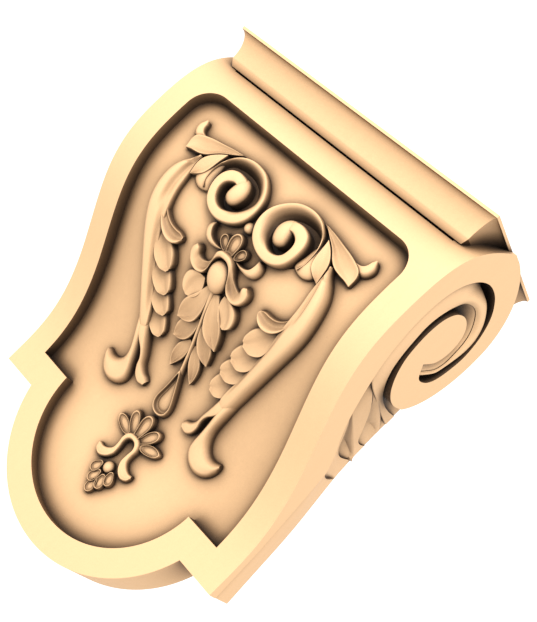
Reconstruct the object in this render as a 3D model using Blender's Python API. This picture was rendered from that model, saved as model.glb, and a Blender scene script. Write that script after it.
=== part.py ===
# Acanthus corbel, carved in one piece. Blender source, metres, Z up, front towards -Y.
# The origin is on the flat wall face, half way between the flat top and the level foot.
# Lengths in the tables are in body widths; place() and across() turn them into metres.
import math

import bpy
import numpy as np

# Driving dimensions, metres
BODY_WIDTH = 0.200
RECESS_DEEP = 0.0072
SIDE_SUNK = 0.0108

# Proportions of the body, in body widths
HALF = 0.5
BODY_FOOT = 1.1216
LOBE_CENTRE = 1.006
LOBE_RADIUS = 0.388
FRONT_FLAT = 0.1325
TOP_Z = BODY_FOOT * BODY_WIDTH / 2
DEEP = RECESS_DEEP / BODY_WIDTH
CORE_HALF = HALF - SIDE_SUNK / BODY_WIDTH
OVER = 0.02
PLATE_BACK = 0.427

# Front curve seen from the side: three bezier spans as (out from the wall, down from the top)
ROLL_SPAN = ((0.2660, 0.0), (0.4274, 0.0825), (0.4620, 0.1501), (0.4620, 0.3321))
NECK_SPAN = ((0.4620, 0.3321), (0.4620, 0.4954), (0.3845, 0.5685), (0.2718, 0.7098))
SHIN_SPAN = ((0.2718, 0.7098), (0.1549, 0.8564), (0.1325, 0.9475), (0.1325, 1.0600))
SURFACE_START = 0.05

# Volute outline behind the roll, same axes as the front curve
VOLUTE_TOP = ((0.2660, 0.0), (0.1300, -0.0100), (-0.0010, 0.0750), (-0.0010, 0.2150))
VOLUTE_BACK = ((-0.0010, 0.2150), (-0.0010, 0.3000), (0.0300, 0.4000), (0.1070, 0.4515))

# Edge of the volute's eye, from below round the left and over to the tip of the channel
EYE_EDGE = (
    (0.107, 0.4515), (0.150, 0.462), (0.190, 0.460), (0.230, 0.443), (0.265, 0.412), (0.290, 0.372),
    (0.301, 0.325), (0.302, 0.280), (0.292, 0.240), (0.270, 0.210), (0.240, 0.194), (0.210, 0.190),
    (0.180, 0.198), (0.156, 0.218), (0.144, 0.250), (0.147, 0.285), (0.165, 0.316), (0.203, 0.342),
)
# Inner edge of the band, from the tip of the channel over the top and down to the foot
BAND_EDGE = (
    (0.203, 0.342), (0.165, 0.366), (0.125, 0.360), (0.097, 0.335), (0.080, 0.290), (0.078, 0.235),
    (0.092, 0.175), (0.125, 0.126), (0.170, 0.099), (0.215, 0.090), (0.262, 0.095), (0.308, 0.119),
    (0.347, 0.160), (0.371, 0.208), (0.381, 0.262), (0.380, 0.322), (0.367, 0.392), (0.345, 0.450),
    (0.315, 0.508), (0.278, 0.566), (0.236, 0.614), (0.190, 0.655), (0.155, 0.700),
)
SHANK_EDGE = ((0.155, 0.700), (0.135, 0.800), (0.110, 0.950), (0.095, 1.1216))

# The curled leaf end inside the channel: outer point, inner point, depths at outer, middle, inner
CURL = (
    ((0.185, 0.360), (0.196, 0.341), 0.004, 0.003, 0.004),
    ((0.140, 0.366), (0.162, 0.314), 0.010, 0.005, 0.011),
    ((0.097, 0.335), (0.146, 0.282), 0.012, 0.005, 0.013),
    ((0.080, 0.290), (0.144, 0.252), 0.012, 0.005, 0.014),
    ((0.082, 0.215), (0.156, 0.219), 0.013, 0.005, 0.015),
    ((0.105, 0.152), (0.176, 0.200), 0.013, 0.005, 0.016),
    ((0.148, 0.110), (0.198, 0.191), 0.013, 0.005, 0.017),
    ((0.200, 0.091), (0.221, 0.191), 0.012, 0.005, 0.018),
    ((0.255, 0.094), (0.246, 0.196), 0.011, 0.006, 0.019),
    ((0.308, 0.119), (0.272, 0.212), 0.009, 0.007, 0.020),
    ((0.352, 0.169), (0.293, 0.243), 0.007, 0.008, 0.021),
    ((0.378, 0.240), (0.302, 0.285), 0.005, 0.009, 0.022),
    ((0.381, 0.315), (0.300, 0.332), 0.004, 0.011, 0.024),
    ((0.366, 0.395), (0.286, 0.382), 0.004, 0.014, 0.029),
    ((0.335, 0.470), (0.255, 0.424), 0.005, 0.018, 0.036),
    ((0.290, 0.548), (0.205, 0.457), 0.007, 0.024, 0.044),
)
# Leaflets under the volute: root on the band, end at the wall, lip depth there, step below the lip
LEAFLETS = (
    ((0.345, 0.440), (0.000, 0.430), 0.0530, 0.000),
    ((0.330, 0.480), (0.000, 0.487), 0.0500, 0.005),
    ((0.303, 0.528), (0.000, 0.575), 0.0490, 0.008),
    ((0.270, 0.575), (0.000, 0.640), 0.0465, 0.008),
    ((0.228, 0.622), (0.000, 0.700), 0.0430, 0.007),
    ((0.180, 0.665), (0.000, 0.757), 0.0410, 0.004),
)
# Plain shank below the leaflets: root on the band, height at the wall, depth at the wall
SHANK = (
    ((0.145, 0.760), 0.840, 0.030),
    ((0.130, 0.850), 0.930, 0.022),
    ((0.110, 0.980), 1.030, 0.016),
    ((0.095, 1.1216), 1.1216, 0.010),
)
ROOT_DEPTH = 0.004
LEAF_SAG = 0.030

# Cap moulding: plan half-width and reach of its top and of its lower corner
CAP_TOP = (0.4868, 0.4444)
CAP_CORNER = (0.4582, 0.4181)
CAP_FOOT = (0.4479, 0.4082)
FASCIA = 0.008
CAP_CORNER_DOWN = 0.0819
CAP_FOOT_DOWN = 0.0990
QUIRK = 0.006
QUIRK_FLOOR = 0.384
COVE_STEPS = 7

# Sunk panel on the front, as distance along the surface
PANEL_HALF = 0.420
PANEL_TOP = 0.172
PANEL_CORNER = 0.075
PANEL_STEP = 1.109
PANEL_NECK = 0.2987
PANEL_LOBE = 1.095
PANEL_RADIUS = 0.300

# Relief: how far a carved form goes below the panel, and cross sections as (across, share of height)
ROOT = 0.006
ROUND = ((-1.0, 0.50), (-0.45, 1.0), (0.45, 1.0), (1.0, 0.50))
RIDGE = ((-1.0, 0.55), (0.0, 1.0), (1.0, 0.55))
HOLLOW = ((-1.0, 1.0), (0.0, 0.72), (1.0, 1.0))
SCROLL = ((-1.0, 0.50), (-0.55, 1.0), (0.30, 0.45), (1.0, 0.16))
STALK = ((-1.0, 0.20), (-0.15, 0.70), (0.30, 1.0), (1.0, 0.75))


def new_object(name, mesh, collection):
    obj = bpy.data.objects.new(name, mesh)
    collection.objects.link(obj)
    return obj


def new_collection(name, parent):
    made = bpy.data.collections.new(name)
    parent.children.link(made)
    return made


def bezier(span, count):
    """Points along one cubic span."""
    t = np.linspace(0.0, 1.0, count)[:, None]
    a, b, c, d = (np.array(p) for p in span)
    return (1 - t) ** 3 * a + 3 * (1 - t) ** 2 * t * b + 3 * (1 - t) * t * t * c + t ** 3 * d


def smooth(points, count):
    """A Catmull-Rom curve through the points, evenly stepped in its own parameter."""
    p = np.array(points, float)
    p = np.vstack([2 * p[0] - p[1], p, 2 * p[-1] - p[-2]])
    u = np.linspace(0, len(p) - 3, count)
    i = np.minimum(u.astype(int), len(p) - 4)
    t = (u - i)[:, None]
    a, b, c, d = p[i], p[i + 1], p[i + 2], p[i + 3]
    square = 2 * a - 5 * b + 4 * c - d
    cube = -a + 3 * b - 3 * c + d
    return 0.5 * (2 * b + (c - a) * t + square * t * t + cube * t ** 3)


def front_curve(steps):
    """The front curve from the top of the roll to the foot, as (out, down)."""
    spans = [bezier(span, steps) for span in (ROLL_SPAN, NECK_SPAN, SHIN_SPAN)]
    return np.vstack([spans[0], spans[1][1:], spans[2][1:]])


def surface_table():
    """Distance along the front, position and outward normal, finely stepped."""
    curve = np.vstack([front_curve(400), [[FRONT_FLAT, 1.6]]])
    down = np.linspace(SURFACE_START, 1.5, 3000)
    out = np.interp(down, curve[:, 1], curve[:, 0])
    run = np.concatenate([[0.0], np.cumsum(np.hypot(np.diff(down), np.diff(out)))])
    lean = np.gradient(out, run)
    fall = np.gradient(down, run)
    return run, out, down, fall, lean


RUN, OUT, DOWN, FALL, LEAN = surface_table()


def place(across, along, lift):
    """A point on the panel floor raised by lift, in metres below the flat top."""
    out = np.interp(along, RUN, OUT)
    down = np.interp(along, RUN, DOWN)
    step = lift - DEEP
    out = out + step * np.interp(along, RUN, FALL)
    down = down - step * np.interp(along, RUN, LEAN)
    return np.stack(np.broadcast_arrays(across, -out, -down), -1) * BODY_WIDTH


def loft(name, loops, collection, closed=False, split=()):
    """A closed body through equal loops of points, capped unless it runs round.

    The faces of the strips named in split are cut in two, because they are not flat.
    """
    loops = np.asarray(loops, float) + np.array((0.0, 0.0, TOP_Z))
    n, k, _ = loops.shape
    faces = []
    for i in range(n if closed else n - 1):
        a, b = i * k, ((i + 1) % n) * k
        for j in range(k):
            face = (a + j, a + (j + 1) % k, b + (j + 1) % k, b + j)
            faces += [face[:3], (face[0], *face[2:])] if j in split else [face]
    if not closed:
        faces.append(tuple(reversed(range(k))))
        faces.append(tuple(range((n - 1) * k, n * k)))
    mesh = bpy.data.meshes.new(name)
    mesh.from_pydata(loops.reshape(-1, 3).tolist(), [], faces)
    mesh.validate()
    face_out(mesh)
    return new_object(name, mesh, collection)


def face_out(mesh):
    """Turn the faces outwards if the body's volume comes out negative."""
    mesh.update()
    mesh.calc_loop_triangles()
    co = np.array([v.co[:] for v in mesh.vertices])
    tri = np.array([t.vertices[:] for t in mesh.loop_triangles])
    a, b, c = co[tri[:, 0]], co[tri[:, 1]], co[tri[:, 2]]
    if np.einsum("ij,ij->i", a, np.cross(b, c)).sum() < 0:
        mesh.flip_normals()
        mesh.update()


def slab(name, outline, x0, x1, collection):
    """A flat outline of (out, down) points carried from x0 to x1."""
    outline = np.asarray(outline, float)
    loops = []
    for x in (x0, x1):
        loops.append(np.stack([np.full(len(outline), x), -outline[:, 0], -outline[:, 1]], -1) * BODY_WIDTH)
    return loft(name, loops, collection)


def core(collection):
    """The plain middle of the corbel, from the quirk under the cap to the foot, back to the wall."""
    curve = front_curve(11)
    start = CAP_FOOT_DOWN + QUIRK
    curve = curve[curve[:, 1] > start + 0.005]
    first = [np.interp(start, DOWN, OUT), start]
    outline = [[-OVER, start / 2], [QUIRK_FLOOR, start / 2], [QUIRK_FLOOR, start], first]
    outline += curve.tolist() + [[FRONT_FLAT, BODY_FOOT], [-OVER, BODY_FOOT]]
    slab("core", outline, -CORE_HALF, CORE_HALF, collection)


def lobe(collection):
    """The round drop below the body."""
    count = 40
    turn = np.linspace(0, 2 * math.pi, count, endpoint=False)
    ring = np.stack([LOBE_RADIUS * np.cos(turn), np.zeros(count), LOBE_RADIUS * np.sin(turn)], -1)
    ring[:, 2] = np.minimum(ring[:, 2], 0.05) - LOBE_CENTRE
    loops = []
    for out in (-OVER, FRONT_FLAT):
        loop = ring.copy()
        loop[:, 1] = -out
        loops.append(loop * BODY_WIDTH)
    loft("lobe", loops, collection)


def cap(collection):
    """The mitred cap moulding on front and sides: fascia, cove, splayed band."""
    levels = [(CAP_TOP, -OVER), (CAP_TOP, FASCIA)]
    for i in range(1, COVE_STEPS + 1):
        turn = math.pi / 2 * (1 - i / COVE_STEPS)
        share = 1 - math.cos(turn)
        plan = tuple(CAP_CORNER[k] + (CAP_TOP[k] - CAP_CORNER[k]) * share for k in (0, 1))
        levels.append((plan, CAP_CORNER_DOWN - (CAP_CORNER_DOWN - FASCIA) * math.sin(turn)))
    levels.append((CAP_FOOT, CAP_FOOT_DOWN))
    loops = []
    for (half, out), down in levels:
        ring = [(-half, OVER, -down), (half, OVER, -down), (half, -out, -down), (-half, -out, -down)]
        loops.append(np.array(ring) * BODY_WIDTH)
    loft("cap", loops, collection)


def side_plate(side, collection):
    """The flat band that rises up the front edge, rolls over and curls in to the eye."""
    front = front_curve(11)[::-1]
    outline = np.vstack([
        [[FRONT_FLAT, BODY_FOOT]],
        front,
        bezier(VOLUTE_TOP, 10)[1:],
        bezier(VOLUTE_BACK, 8)[1:],
        smooth(EYE_EDGE, 26)[1:],
        smooth(BAND_EDGE, 29)[1:],
        np.array(SHANK_EDGE)[1:],
    ])
    slab("plate", outline, side * PLATE_BACK, side * HALF, collection)


def side_loop(points, side):
    """Points (out, down, depth) closed below inside the core."""
    p = np.asarray(points, float)
    top = np.stack([side * (HALF - p[:, 2]), -p[:, 0], -p[:, 1]], -1)
    foot = top.copy()
    foot[:, 0] = side * (CORE_HALF - 0.03)
    return np.vstack([top, foot[::-1]]) * BODY_WIDTH


def side_curl(side, collection):
    """The leaf end that turns in the channel of the volute."""
    loops = []
    for outer, inner, d0, d1, d2 in CURL:
        o, e = np.array(outer), np.array(inner)
        edge = (o - e) / np.linalg.norm(o - e) * 0.012
        rows = [(*(o + edge), d0), (*o, d0), (*(0.55 * o + 0.45 * e), d1), (*e, d2), (*(e - edge), d2)]
        loops.append(side_loop(rows, side))
    loft("curl", loops, collection)


def leaf_row(root, end, lip, drop):
    """One line of the fan from the band to beyond the wall, sagging a little on its way."""
    root, end = np.array(root), np.array(end)
    row = []
    for t in (-0.08, 0.2, 0.5, 0.8, 1.0, 1.06):
        here = root + (end - root) * t
        here[1] += LEAF_SAG * 4 * max(t, 0) * max(1 - t, 0) * 0.5
        swell = math.sin(math.pi * min(max(t, 0), 1) ** 1.4)
        deep = ROOT_DEPTH + (lip - ROOT_DEPTH) * max(t, 0) ** 0.8 + drop * (0.35 + 0.65 * swell)
        row.append((here[0], here[1], deep))
    return row


def side_fan(side, collection):
    """The overlapping leaflets under the volute and the plain shank below them."""
    rows = []
    for root, end, lip, step in LEAFLETS:
        rows.append(leaf_row(root, end, lip, 0.0))
        if step:
            shift = np.array((0.0, 0.004))
            rows.append(leaf_row(root + shift, end + shift, lip, step))
    for root, down, lip in SHANK:
        rows.append(leaf_row(root, (0.0, down), lip, 0.0))
    rows[-1] = [(out, BODY_FOOT, deep) for out, _, deep in rows[-1]]
    loft("fan", [side_loop(row, side) for row in rows], collection)


def panel(collection):
    """The cutter of the sunk panel, one row for every step along the surface."""
    rows = []
    for turn in np.linspace(0, math.pi / 2, 5):
        half = PANEL_HALF - PANEL_CORNER * (1 - math.sin(turn))
        rows.append((PANEL_TOP + PANEL_CORNER * (1 - math.cos(turn)), half))
    for along in np.linspace(PANEL_TOP + PANEL_CORNER, PANEL_STEP - 0.001, 23)[1:]:
        rows.append((along, PANEL_HALF))
    rows.append((PANEL_STEP, PANEL_NECK))
    for turn in np.linspace(0.08, 1, 11):
        angle = math.pi / 2 * turn
        rows.append((PANEL_LOBE + PANEL_RADIUS * math.sin(angle), max(PANEL_RADIUS * math.cos(angle), 0.01)))
    loops = []
    for along, half in rows:
        sides = np.array([-half, half, half, -half])
        loops.append(place(sides, np.full(4, along), np.array([0.0, 0.0, 2 * DEEP, 2 * DEEP])))
    loft("panel", loops, collection, split=(1, 3))


def sweep(name, line, half, high, section, count, collection, closed=False, both=True):
    """A raised form: a cross section carried along a line on the panel, on one side or both."""
    keys = np.column_stack([np.array(line, float), half, high])
    if closed:
        keys = np.vstack([keys[-1], keys, keys[0], keys[1]])
        path = smooth(keys, (len(line) + 2) * count + 1)[count:-count - 1]
    else:
        path = smooth(keys, count)
    ahead = np.roll(path, -1, 0)[:, :2] - np.roll(path, 1, 0)[:, :2]
    if not closed:
        ahead[0] = path[1, :2] - path[0, :2]
        ahead[-1] = path[-1, :2] - path[-2, :2]
    ahead /= np.linalg.norm(ahead, axis=1)[:, None]
    across = np.array([s[0] for s in section])
    share = np.array([s[1] for s in section])
    for side in (1, -1) if both else (1,):
        loops = []
        for (x, s, w, h), (dx, ds) in zip(path, ahead):
            w = max(w, 0.0015)
            xs = np.concatenate([x - ds * w * across, [x - ds * w, x + ds * w]])
            ss = np.concatenate([s + dx * w * across, [s + dx * w, s - dx * w]])
            lift = np.concatenate([h * share, [-ROOT, -ROOT]])
            loops.append(place(side * xs, ss, lift))
        loft(name, loops, collection, closed)


def disc(name, centre, radii, rings, collection, count=16, both=False):
    """A round form from rings of (share of radius, height), closed on top by the last ring."""
    turn = np.linspace(0, 2 * math.pi, count, endpoint=False)
    for side in (1, -1) if both else (1,):
        loops = []
        for share, lift in rings:
            xs = centre[0] + radii[0] * share * np.cos(turn)
            ss = centre[1] + radii[1] * share * np.sin(turn)
            loops.append(place(side * xs, ss, np.full(count, lift)))
        loft(name, loops, collection)


def dome(high):
    """Rings of a low dome of the given height."""
    return ((1.0, -ROOT), (1.0, high * 0.35), (0.7, high * 0.9), (0.15, high))


def scrolls(collection):
    """The two facing scrolls: an open outer turn, a round inner turn and the eye."""
    line = [
        (0.190, 0.386), (0.193, 0.350), (0.186, 0.312), (0.163, 0.281), (0.130, 0.266), (0.095, 0.266),
        (0.060, 0.280), (0.035, 0.305), (0.026, 0.343), (0.034, 0.380), (0.058, 0.408), (0.092, 0.419),
        (0.125, 0.411), (0.149, 0.388), (0.158, 0.358), (0.153, 0.330), (0.137, 0.312),
    ]
    half = [0.014, 0.013, 0.015, 0.018, 0.019, 0.020, 0.021, 0.022, 0.021, 0.020, 0.018, 0.016, 0.016, 0.016,
            0.016, 0.014, 0.012]
    high = [0.016] * 3 + [0.018] * 8 + [0.020] * 6
    blend = SCROLL[::-1]
    flipped = tuple((-u, h) for u, h in blend)
    sweep("scroll", line, half, high, flipped, 30, collection)
    disc("scroll_eye", (0.097, 0.342), (0.032, 0.042), dome(0.023), collection, 14, True)


def scroll_leaves(collection):
    """The long leaf with its tendril and the short leaf, growing from the scroll."""
    long_leaf = [(0.170, 0.262), (0.215, 0.276), (0.262, 0.297), (0.300, 0.311), (0.328, 0.330)]
    sweep("long_leaf", long_leaf, [0.005, 0.013, 0.023, 0.024, 0.006], [0.016, 0.018, 0.017, 0.014, 0.009],
          ROUND, 7, collection)
    tendril = [(0.280, 0.292), (0.315, 0.290), (0.338, 0.280), (0.343, 0.262), (0.332, 0.250)]
    sweep("tendril", tendril, [0.008, 0.009, 0.010, 0.009, 0.004], [0.013, 0.012, 0.011, 0.010, 0.007],
          RIDGE, 8, collection)
    short_leaf = [(0.200, 0.286), (0.222, 0.322), (0.240, 0.352), (0.261, 0.387)]
    sweep("short_leaf", short_leaf, [0.006, 0.019, 0.020, 0.004], [0.017, 0.018, 0.016, 0.012],
          HOLLOW, 6, collection)


def stalks(collection):
    """The long stalk that swings from the scroll to the foot, its two toes and its tongue."""
    line = [
        (0.255, 0.335), (0.283, 0.372), (0.297, 0.415), (0.301, 0.465), (0.297, 0.520), (0.283, 0.580),
        (0.262, 0.640), (0.238, 0.700), (0.216, 0.755), (0.197, 0.810), (0.180, 0.860), (0.172, 0.905),
    ]
    half = [0.008, 0.018, 0.027, 0.031, 0.029, 0.024, 0.022, 0.020, 0.020, 0.020, 0.022, 0.020]
    high = [0.016, 0.018, 0.019, 0.019, 0.019, 0.019, 0.018, 0.018, 0.018, 0.018, 0.018, 0.018]
    flipped = tuple((-u, h) for u, h in STALK[::-1])
    sweep("stalk", line, half, high, flipped, 16, collection)
    toe = [(0.183, 0.870), (0.179, 0.920), (0.182, 0.962), (0.206, 0.988), (0.238, 0.984), (0.260, 0.956)]
    sweep("outer_toe", toe, [0.014, 0.015, 0.026, 0.029, 0.022, 0.004], [0.018, 0.018, 0.018, 0.017, 0.015, 0.008],
          ROUND, 11, collection)
    toe = [(0.150, 0.855), (0.138, 0.900), (0.129, 0.932), (0.109, 0.951), (0.084, 0.947)]
    sweep("inner_toe", toe, [0.016, 0.013, 0.013, 0.012, 0.005], [0.018, 0.018, 0.018, 0.016, 0.009],
          ROUND, 9, collection)
    tongue = [(0.262, 0.500), (0.248, 0.535), (0.222, 0.553), (0.193, 0.551), (0.171, 0.540)]
    sweep("tongue", tongue, [0.010, 0.018, 0.022, 0.019, 0.006], [0.018, 0.019, 0.019, 0.019, 0.016],
          HOLLOW, 8, collection)


def sprays(collection):
    """Four overlapping leaflets inside each stalk, the upper ones lying on the lower."""
    spans = (
        ((0.245, 0.560), (0.200, 0.612), (0.176, 0.640), 0.034, 0.0185),
        ((0.228, 0.625), (0.180, 0.678), (0.157, 0.705), 0.034, 0.0165),
        ((0.209, 0.685), (0.160, 0.735), (0.137, 0.758), 0.032, 0.0150),
        ((0.191, 0.740), (0.143, 0.792), (0.124, 0.820), 0.031, 0.0135),
    )
    for start, middle, end, wide, high in spans:
        rising = [high * 0.75, high * 0.85, high, high * 0.95]
        near = tuple((np.array(middle) * 0.45 + np.array(end) * 0.55).tolist())
        sweep("leaflet", [start, middle, near, end], [wide * 0.45, wide, wide * 0.95, wide * 0.45], rising,
              HOLLOW, 6, collection)


def centre_top(collection):
    """The ball, the three petals and the side curls above the cabochon."""
    disc("ball", (0.0, 0.395), (0.017, 0.017), dome(0.014), collection, 12)
    sweep("petal", [(0.0, 0.488), (0.0, 0.460), (0.0, 0.438), (0.0, 0.422)], [0.010, 0.018, 0.019, 0.009],
          [0.013, 0.015, 0.016, 0.014], HOLLOW, 6, collection, False, False)
    sweep("petal", [(0.012, 0.488), (0.032, 0.470), (0.045, 0.452)], [0.006, 0.016, 0.008],
          [0.012, 0.014, 0.012], HOLLOW, 5, collection)
    sweep("side_curl", [(0.024, 0.490), (0.055, 0.494), (0.085, 0.484), (0.101, 0.462), (0.096, 0.438)],
          [0.004, 0.009, 0.013, 0.012, 0.006], [0.012, 0.013, 0.014, 0.014, 0.012], RIDGE, 8, collection)


def centre_drop(collection):
    """The hood and cabochon, the curled arms, round petals, leaf pairs and pendant."""
    disc("cabochon", (0.0, 0.552), (0.037, 0.048), dome(0.026), collection, 18)
    hood = [(0.0, 0.490), (0.022, 0.498), (0.038, 0.520), (0.046, 0.548), (0.058, 0.568), (0.080, 0.577),
            (0.101, 0.567), (0.111, 0.547), (0.108, 0.528), (0.096, 0.521)]
    wide = [0.012, 0.011, 0.010, 0.010, 0.012, 0.013, 0.012, 0.011, 0.010, 0.005]
    sweep("hood", hood, wide, [0.022, 0.021, 0.020, 0.018, 0.016, 0.016, 0.018, 0.019, 0.018, 0.016],
          ROUND, 17, collection)
    disc("round_petal", (0.074, 0.618), (0.036, 0.038),
         ((1.0, -ROOT), (1.0, 0.008), (0.88, 0.0135), (0.70, 0.0115), (0.15, 0.010)), collection, 14, True)
    sweep("stem", [(0.0, 0.590), (0.0, 0.700), (0.0, 0.860)], [0.012, 0.010, 0.007], [0.011, 0.013, 0.013],
          RIDGE, 6, collection, False, False)
    pairs = (((0.006, 0.610), (0.036, 0.670), (0.062, 0.706), (0.080, 0.722), 0.031, 0.0120),
             ((0.004, 0.680), (0.028, 0.735), (0.052, 0.763), (0.070, 0.778), 0.027, 0.0110),
             ((0.004, 0.755), (0.026, 0.800), (0.042, 0.830), (0.047, 0.858), 0.022, 0.0100))
    for a, b, c, d, wide, high in pairs:
        sweep("drop_leaf", [a, b, c, d], [wide * 0.3, wide, wide * 0.8, wide * 0.15],
              [high * 0.8, high, high * 1.1, high], HOLLOW, 6, collection)
    ring = [(0.0, 0.862), (0.012, 0.900), (0.024, 0.935), (0.027, 0.960), (0.018, 0.978), (0.0, 0.984)]
    mirrored = ring + [(-x, s) for x, s in ring[-2:0:-1]]
    sweep("pendant", mirrored, [0.0085] * 10, [0.012] * 10, RIDGE, 2, collection, True, False)


def bottom_flower(collection):
    """Five petals over an arched band with curled feet, a ball and five buds."""
    sweep("crown", [(0.0, 1.078), (0.0, 1.045), (0.0, 1.020), (0.0, 1.003)], [0.010, 0.018, 0.019, 0.008],
          [0.014, 0.016, 0.017, 0.014], HOLLOW, 6, collection, False, False)
    sweep("crown", [(0.016, 1.076), (0.034, 1.050), (0.045, 1.034), (0.055, 1.021)], [0.008, 0.016, 0.015, 0.004],
          [0.012, 0.014, 0.013, 0.010], HOLLOW, 6, collection)
    sweep("crown", [(0.030, 1.084), (0.056, 1.072), (0.076, 1.066), (0.096, 1.060)], [0.009, 0.017, 0.015, 0.003],
          [0.010, 0.012, 0.011, 0.008], HOLLOW, 6, collection)
    band = [(0.0, 1.077), (0.020, 1.083), (0.028, 1.104), (0.025, 1.132), (0.030, 1.158), (0.050, 1.172),
            (0.070, 1.167), (0.079, 1.152)]
    sweep("arch", band, [0.010, 0.010, 0.009, 0.008, 0.010, 0.011, 0.010, 0.005],
          [0.016, 0.016, 0.015, 0.014, 0.013, 0.013, 0.012, 0.008], RIDGE, 17, collection)
    disc("ball", (0.0, 1.183), (0.018, 0.018), dome(0.016), collection, 12)
    for start, end, wide in (((0.026, 1.184), (0.040, 1.220), 0.014), ((0.012, 1.206), (0.021, 1.246), 0.014)):
        middle = ((start[0] + end[0]) / 2, (start[1] + end[1]) / 2)
        sweep("bud", [start, middle, end], [wide * 0.5, wide, wide * 0.3], [0.010, 0.012, 0.008],
              HOLLOW, 5, collection)
    sweep("bud", [(0.0, 1.228), (0.0, 1.248), (0.0, 1.271)], [0.010, 0.015, 0.004], [0.008, 0.010, 0.006],
          HOLLOW, 5, collection, False, False)


def trim(collection):
    """Blocks that plane the top and the wall face flat."""
    far = 0.9
    wall = [(-far, 0.0), (far, 0.0), (far, 0.3), (-far, 0.3)]
    loops = [np.array([(x, y, z) for x, y in wall]) * BODY_WIDTH for z in (-1.7, 0.4)]
    loft("trim_wall", loops, collection)
    top = [(-far, -0.7), (far, -0.7), (far, 0.2), (-far, 0.2)]
    loops = [np.array([(x, y, z) for x, y in top]) * BODY_WIDTH for z in (0.0, 0.3)]
    loft("trim_top", loops, collection)


def combine(obj, name, operation, operand):
    """Add an exact Boolean with every body of a collection."""
    mod = obj.modifiers.new(name, "BOOLEAN")
    mod.operation = operation
    mod.operand_type = "COLLECTION"
    mod.collection = operand
    mod.solver = "EXACT"


def wood(name):
    made = bpy.data.materials.new(name)
    made.use_nodes = True
    shader = made.node_tree.nodes["Principled BSDF"]
    shader.inputs["Base Color"].default_value = (0.83, 0.66, 0.45, 1.0)
    shader.inputs["Roughness"].default_value = 0.62
    return made


def bake(obj):
    """Replace the modifiers by their result and shade its round faces smooth."""
    graph = bpy.context.evaluated_depsgraph_get()
    mesh = bpy.data.meshes.new_from_object(obj.evaluated_get(graph))
    obj.modifiers.clear()
    obj.data = mesh
    mesh.name = obj.name
    mesh.materials.clear()
    mesh.materials.append(wood("lime_wood"))
    mesh.polygons.foreach_set("material_index", [0] * len(mesh.polygons))
    mesh.polygons.foreach_set("use_smooth", [True] * len(mesh.polygons))
    mesh.set_sharp_from_angle(angle=math.radians(32))


def main():
    for obj in list(bpy.data.objects):
        bpy.data.objects.remove(obj, do_unlink=True)
    root = bpy.context.scene.collection
    piece = new_collection("acanthus_corbel", root)
    cutters = new_collection("cutters", root)
    mass = new_collection("mass", cutters)
    sunk = new_collection("sunk", cutters)
    relief = new_collection("relief", cutters)
    flats = new_collection("flats", cutters)
    core(mass)
    lobe(mass)
    cap(mass)
    for side in (-1, 1):
        side_plate(side, mass)
        side_curl(side, mass)
        side_fan(side, mass)
    panel(sunk)
    scrolls(relief)
    scroll_leaves(relief)
    stalks(relief)
    sprays(relief)
    centre_top(relief)
    centre_drop(relief)
    bottom_flower(relief)
    trim(flats)
    first = mass.objects[0]
    mass.objects.unlink(first)
    first.name = "corbel"
    piece.objects.link(first)
    combine(first, "mass", "UNION", mass)
    combine(first, "sunk", "DIFFERENCE", sunk)
    combine(first, "relief", "UNION", relief)
    combine(first, "flats", "DIFFERENCE", flats)
    bake(first)
    for obj in bpy.data.objects:
        if obj is not first:
            obj.hide_render = True
            obj.display_type = "WIRE"


main()
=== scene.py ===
import math

import bpy
import numpy as np
from mathutils import Matrix, Vector


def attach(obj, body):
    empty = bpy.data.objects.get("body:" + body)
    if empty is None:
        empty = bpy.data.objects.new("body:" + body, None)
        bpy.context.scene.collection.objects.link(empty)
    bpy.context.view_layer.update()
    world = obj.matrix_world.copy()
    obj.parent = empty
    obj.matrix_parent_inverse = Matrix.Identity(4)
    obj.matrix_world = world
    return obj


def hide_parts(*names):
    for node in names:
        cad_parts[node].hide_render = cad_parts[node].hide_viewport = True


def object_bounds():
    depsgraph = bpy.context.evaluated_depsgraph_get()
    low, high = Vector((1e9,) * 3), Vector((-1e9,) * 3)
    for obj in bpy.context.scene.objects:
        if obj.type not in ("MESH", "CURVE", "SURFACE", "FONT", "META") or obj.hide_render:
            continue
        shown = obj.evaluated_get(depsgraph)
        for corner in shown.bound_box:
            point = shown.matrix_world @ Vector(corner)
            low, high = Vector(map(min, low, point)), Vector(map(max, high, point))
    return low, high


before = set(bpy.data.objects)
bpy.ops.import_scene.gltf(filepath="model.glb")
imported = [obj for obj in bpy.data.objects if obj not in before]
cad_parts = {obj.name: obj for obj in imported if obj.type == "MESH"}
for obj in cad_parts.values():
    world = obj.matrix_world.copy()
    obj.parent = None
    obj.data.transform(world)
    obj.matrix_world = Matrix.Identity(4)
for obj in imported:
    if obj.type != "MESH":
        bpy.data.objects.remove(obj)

cad_low, cad_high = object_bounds()

# Lengths are in body widths: across from the middle, out from the wall, down from the top, and in the
# relief's tables across and along the curved front.
BODY_WIDTH = 0.200
HALF = 0.5
BODY_FOOT = 1.1216
TOP_Z = BODY_FOOT * BODY_WIDTH / 2
FRONT_FLAT = 0.1325
CORE_HALF = 0.446
CORE_OVERLAP = 0.03
PLATE_BACK = 0.427
LOBE_CENTRE = 1.006
LOBE_RADIUS = 0.388
LOBE_TOP = 0.05
OVER = 0.02
FAR = 0.9
MIRROR = np.array((-1.0, 1.0, 1.0))

# Relief: depth of the panel's floor, how far its walls go below that floor, how much wider they get
# there, and the gain on the tables of heights
DEEP = 0.036
ROOT = 0.006
SCROLL_ROOT = 0.018
FLARE = 0.0016
RELIEF = 1.25
# A rounded edge: shares of its width where rings lie, the most of a form it may take, the least width
EDGE_STEPS = (0.0, 0.025, 0.09, 0.22, 0.45, 0.72, 1.0)
EDGE_MOST = 0.46
THIN = 1e-4
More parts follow.
